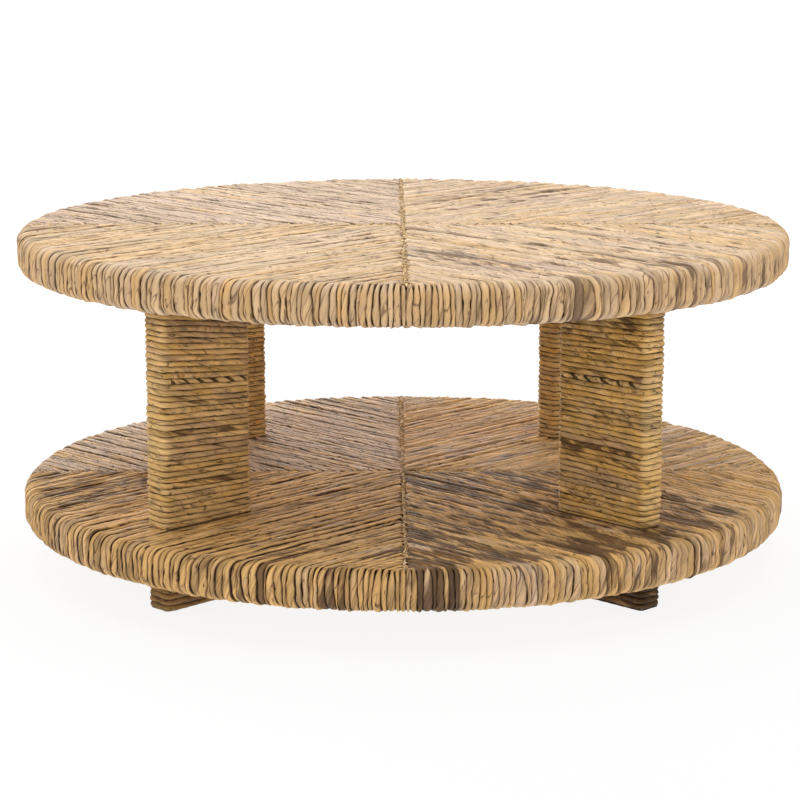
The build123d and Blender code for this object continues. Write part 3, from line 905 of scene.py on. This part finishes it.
# Rope wound up a plank. Its lower edge climbs one pitch a turn, and its upper edge is the lower edge
# of the next turn, so the first and the last turn are wedges that end flat.
def windPlank(prefix, quarter, seed):
    rope, rng = legRope, np.random.default_rng(seed)
    low, high = spanOf(prefix + "_wrap_")
    bottom, top = low[2], high[2]
    layer = sleeveHalfWidth - postHalfWidth
    places, normals, walked, girth = sleeveLoop(sleeveHalfLength - layer / 2, sleeveHalfWidth - layer / 2,
                                                layer / 2 + rope["cornerExtra"])
    rounds = int(round((top - bottom) / rope["pitch"]))
    pitch = (top - bottom) / rounds
    tilt, tiltPower = legTilts.get((prefix, quarter), otherTilt)
    turns = rounds + int(np.ceil(tilt / pitch))  # more turns than fit, to fill the corner that the tilt leaves
    rings = len(places)
    index = np.arange((turns + 1) * rings + 1)
    turn, place = index // rings, index % rings
    distance = turn * girth + walked[place]
    run = np.zeros(len(distance), int)

    # Height of the rope's lower edge after a distance along it, level in the first and past the last turn.
    def lineHeight(at):
        climb = bottom + pitch * (at / girth - 1)
        for length, size, layerSeed in rope["wanders"]:
            tableSize = int(rope["tableLength"] / length)
            table = np.random.default_rng(seed * 10 + layerSeed).uniform(-1, 1, tableSize)
            cell = (at / length).astype(int)
            ease = smooth(at / length - cell)
            climb = climb + size * (table[cell] * (1 - ease) + table[cell + 1] * ease)
        share = np.clip((climb - bottom) / tiltHeight, 0, tiltLimit)
        inwards = 0.5 - places[place, 0] / (2 * sleeveHalfLength)
        return np.clip(climb - tilt * share**tiltPower * inwards, bottom, top)

    def wave(length):
        return unevenness(rng, 1, run, distance, length)

    lower, upper = lineHeight(distance), lineHeight(distance + girth)
    halfTurn = np.maximum((upper - lower) / 2, rope["thinnest"])
    z = (upper + lower) / 2
    runOut = np.minimum(halfTurn / (pitch / 2), 1)
    halfOut = layer / 2 * rope["plump"] * runOut**rope["taper"]
    halfOut = halfOut * (1 + sum(size * wave(length) for size, length in rope["swells"]))
    lift = sum(size * wave(length) for size, length in rope["lifts"])
    thin = smooth(wave(rope["thinWave"]) * rope["thinSlope"] - rope["thinRare"])
    halfTurn = halfTurn * (1 - rope["thinHeight"] * thin)
    outward = np.column_stack([normals[place], np.zeros(len(place))]) * (1, -1, 1)
    centre = np.column_stack([places[place], z]) * (1, -1, 1) + outward * lift[:, None]
    centre[:, 0] += legRadius
    lobe = rope["lobeDepth"] * (1 + wave(rope["lobeWave"]))
    twist = 2 * np.pi * distance / (rope["lay"] / 2)
    swell = 1 + lobe[:, None] * np.cos(2 * sectionAngles[None, :] + twist[:, None])
    tone = 0.5 + 0.5 * wave(rope["toneWave"])
    rowHeight = 1 / (turns + 1)
    rowOf = np.minimum(turn, turns)
    sheetLeft = (index - rowOf * rings) / rings
    mood = rope["moodSize"] * np.stack([wave(rope["moodWave"]) for _ in range(3)], 1)
    for column, side, level, count, strength in legMarks.get((prefix, quarter), ()):
        onSide = (outward[:, 1] * side > straightOn) | (side == 0)
        ends = np.flatnonzero(onSide & (places[place, 0] > sleeveHalfLength - outerEnd))
        marked = turn[ends[np.argmin(np.abs(z[ends] - level))]]
        mood[:, column] += strength * onSide * (np.abs(turn - marked) < count / 2)
    noiseAlong, noiseAcross = rope["noiseStep"]
    degrees = quarterTurns[quarter]
    piece = ropeMesh(prefix + "_rope_" + quarter, prefix, run, turned(centre, degrees), turned(outward, degrees),
                     rope["overlap"] * halfTurn, halfOut, swell, distance + noiseAlong * seed,
                     z + noiseAcross * seed, tone, mood,
                     (sheetLeft, (rowOf + sheetMargin) * rowHeight, sheetFill * rowHeight))
    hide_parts(prefix + "_wrap_" + quarter)
    return piece


for prefix, firstSeed in (("leg", 51), ("foot", 71)):
    for place, quarter in enumerate(quarterTurns):
        windPlank(prefix, quarter, firstSeed + place)
    print(prefix, "rope wound")


# seam cords

seamRope = {
    "plyWidth": 0.0013,      # half width of each of the two plies
    "plyTurn": 0.0009,       # how far a ply's middle is from the cord's middle
    "lay": 0.017,            # length of one turn of the two plies
    "step": 0.0024,
    "depth": 0.0028,         # how deep under the face the cord's middle lies
    "crossing": 0.0024,      # the cords from the sides end this far from the middle
    "wander": 0.0017,        # sideways wander of the cord
    "slowWave": 0.05,
    "quickWave": 0.014,
    "quickShare": 0.7,
    "swell": 0.18,           # unevenness of the plies' width, and its wave
    "swellWave": 0.02,
    "turnSpread": 2.0,       # unevenness of the twist in radians, and its wave
    "turnWave": 0.04,
    "stitchSpacing": 0.011,  # small ends of bark that cross the cord
    "stitchShare": 0.75,     # share of the places that have one
    "stitchReach": 0.0062,
    "stitchLean": 1.1,       # steepest lean of a stitch, in radians
    "stitchRings": 6,
    "stitchRise": 0.0005,    # height of a stitch's middle over the face, and how far its ends go down
    "stitchDrop": 0.0022,
    "stitchWidth": (0.0007, 0.0013),
    "stitchFlat": 0.8,
    "mood": (0.1, -0.1, 0.3),
    "moodSpread": 0.3,
    "sheetRows": 8,
    "sheetFill": 0.9,
}


# A two-ply cord from front to back and two from the sides, with short ends of bark across them.
def laySeam(node, seed):
    rope, rng = seamRope, np.random.default_rng(seed)
    low, high = (np.array(corner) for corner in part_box(node))
    over = "under" not in node
    face, up = (high[2], 1.0) if over else (low[2], -1.0)
    reach = high[0] if over else high[0] + discOf(node.split("_")[0])["rounding"] - discRope["roundUnder"]
    upward = np.array([0.0, 0.0, up])
    toMiddle = reach - rope["crossing"]
    lines = (((0, -reach), (0, 1), 2 * reach), ((-reach, 0), (1, 0), toMiddle), ((reach, 0), (-1, 0), toMiddle))
    stitchRings, firstStitch, stitchStep = rope["stitchRings"], 10, 1000  # numbers of the runs, all different
    rows = []
    for line, (start, heading, length) in enumerate(lines):
        heading = np.array([*heading, 0.0])
        side = np.array([-heading[1], heading[0], 0.0])
        s = np.linspace(0, length, int(length / rope["step"]))

        def wave(waveLength):
            return unevenness(rng, 1, np.zeros(len(s), int), s, waveLength)

        wander = rope["wander"] * (wave(rope["slowWave"]) + rope["quickShare"] * wave(rope["quickWave"]))
        size = 1 + rope["swell"] * wave(rope["swellWave"])
        turn = 2 * np.pi * s / rope["lay"] + rope["turnSpread"] * wave(rope["turnWave"])
        for ply in range(2):
            angle = turn + np.pi * ply
            middle = np.array([*start, face - up * rope["depth"]]) + heading * s[:, None] + side * wander[:, None]
            centre = middle + rope["plyTurn"] * (side * np.cos(angle)[:, None] + upward * np.sin(angle)[:, None])
            rows.append((np.full(len(s), 2 * line + ply), centre, np.tile(upward, (len(s), 1)),
                         rope["plyWidth"] * size, rope["plyWidth"] * size, s, np.full(len(s), rng.random())))
        count = int(length / rope["stitchSpacing"])
        middle = (np.arange(count) + rng.uniform(0.2, 0.8, count)) * length / count
        lean = rng.uniform(-rope["stitchLean"], rope["stitchLean"], count)
        across = np.linspace(-1, 1, stitchRings)
        for k in np.flatnonzero(rng.random(count) < rope["stitchShare"]):
            stretch = rope["stitchReach"] * rng.uniform(0.5, 1.0)
            sideways = across * stretch * np.cos(lean[k])
            forwards = np.clip(middle[k] + across * stretch * np.sin(lean[k]), 0, length)
            centre = np.array([*start, 0]) + heading * forwards[:, None] + side * sideways[:, None]
            centre[:, 2] = face + up * (rope["stitchRise"] - rope["stitchDrop"] * across**2)
            width = rng.uniform(*rope["stitchWidth"]) * (1 - 0.5 * across**2)
            rows.append((np.full(stitchRings, firstStitch + stitchStep * line + k), centre,
                         np.tile(upward, (stitchRings, 1)), width, rope["stitchFlat"] * width,
                         3.0 * line + k + across * stretch, np.full(stitchRings, rng.random())))
    run, centre, outward, halfWidth, halfHeight, along, tone = (np.concatenate(column) for column in zip(*rows))
    sheetRows = rope["sheetRows"]
    place, perRow = np.arange(len(run)), len(run) / sheetRows
    rowOf = (place // perRow).astype(int)
    sheet = ((place - rowOf * perRow) / perRow, rowOf / sheetRows, rope["sheetFill"] / sheetRows)
    mood = np.tile(rope["mood"], (len(run), 1)) + rope["moodSpread"] * rng.uniform(-1, 1, (len(run), 3))
    piece = ropeMesh(node + "_rope", "cord", run, centre, outward, halfWidth, halfHeight,
                     np.ones((len(run), len(sectionAngles))), along + seed, centre[:, 0] + centre[:, 1], tone,
                     mood, sheet)
    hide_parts(node)
    return piece


seamSeed = 91
for place, seamNode in enumerate(("top_seam_cord", "top_under_seam_cord", "shelf_seam_cord",
                                  "shelf_under_seam_cord")):
    laySeam(seamNode, seamSeed + place)
print("seam cords laid")


# camera, light and floor

view = {
    "place": (-0.024, -3.292, 0.893),
    "aim": (-0.004, 0.0, 0.200),
    "lens": 114.0,
    "clipEnd": 200.0,
}
# place, aim, width, height and power of each soft box
lights = {
    "overhead": ((0.0, -0.3, 2.8), (0.0, 0.0, 0.4), 3.2, 3.2, 45.5),
    "left": ((-3.0, -1.2, 1.5), (0.0, 0.0, 0.25), 2.2, 2.2, 19.5),
    "right": ((3.0, -1.0, 1.5), (0.0, 0.0, 0.25), 2.2, 2.2, 23.5),
    "front": ((-0.6, -4.2, 1.6), (0.0, 0.0, 0.25), 2.0, 2.0, 31.0),
    "back": ((-0.7, 2.6, 0.8), (0.0, 0.0, 0.1), 3.6, 1.4, 110.0),
}
sky = 0.42
floorLook = {
    "color": 0.11,
    "roughness": 0.9,
    "glow": 0.88,      # its own light near the table, and far away
    "farGlow": 1.0,
    "near": 1.0,       # distances from the axis between which one becomes the other
    "far": 3.5,
    "reach": 40.0,     # half its side
}


# The rotation that makes a camera or a lamp look from place to aim.
def facing(place, aim):
    return (Vector(aim) - Vector(place)).to_track_quat("-Z", "Y").to_euler()


def setCamera():
    camera = bpy.data.objects.new("camera", bpy.data.cameras.new("camera"))
    camera.data.lens = view["lens"]
    camera.data.clip_end = view["clipEnd"]
    camera.location = view["place"]
    camera.rotation_euler = facing(view["place"], view["aim"])
    bpy.context.scene.collection.objects.link(camera)
    bpy.context.scene.camera = camera


def areaLight(name, place, aim, width, height, power):
    lamp = bpy.data.lights.new(name, "AREA")
    lamp.shape, lamp.size, lamp.size_y, lamp.energy = "RECTANGLE", width, height, power
    holder = bpy.data.objects.new(name, lamp)
    holder.location = place
    holder.rotation_euler = facing(place, aim)
    holder.visible_camera = False
    bpy.context.scene.collection.objects.link(holder)


def setStage():
    world = bpy.data.worlds.new("studio")
    bpy.context.scene.world = world
    world.use_nodes = True
    background = world.node_tree.nodes["Background"]
    background.inputs["Color"].default_value = (1, 1, 1, 1)
    background.inputs["Strength"].default_value = sky
    for name, values in lights.items():
        areaLight(name, *values)
    reach = floorLook["reach"]
    mesh = bpy.data.meshes.new("floor")
    mesh.from_pydata([(-reach, -reach, 0), (reach, -reach, 0), (reach, reach, 0), (-reach, reach, 0)], [],
                     [(0, 1, 2, 3)])
    floor = bpy.data.objects.new("floor", mesh)
    bpy.context.scene.collection.objects.link(floor)
    paint, make, surface = newMaterial("floorPaint")
    surface.inputs["Base Color"].default_value = (*[floorLook["color"]] * 3, 1)
    surface.inputs["Roughness"].default_value = floorLook["roughness"]
    surface.inputs["Specular IOR Level"].default_value = 0.0
    surface.inputs["Emission Color"].default_value = (1, 1, 1, 1)
    far = make.add("ShaderNodeVectorMath", {0: make.objectPlace()}, 1, operation="LENGTH")
    glow = make.span(far, floorLook["near"], floorLook["far"], floorLook["glow"], floorLook["farGlow"])
    paint.node_tree.links.new(glow, surface.inputs["Emission Strength"])
    mesh.materials.append(paint)
    bpy.context.scene.view_settings.view_transform = "Standard"


setCamera()
setStage()
print("camera, lights and floor set")
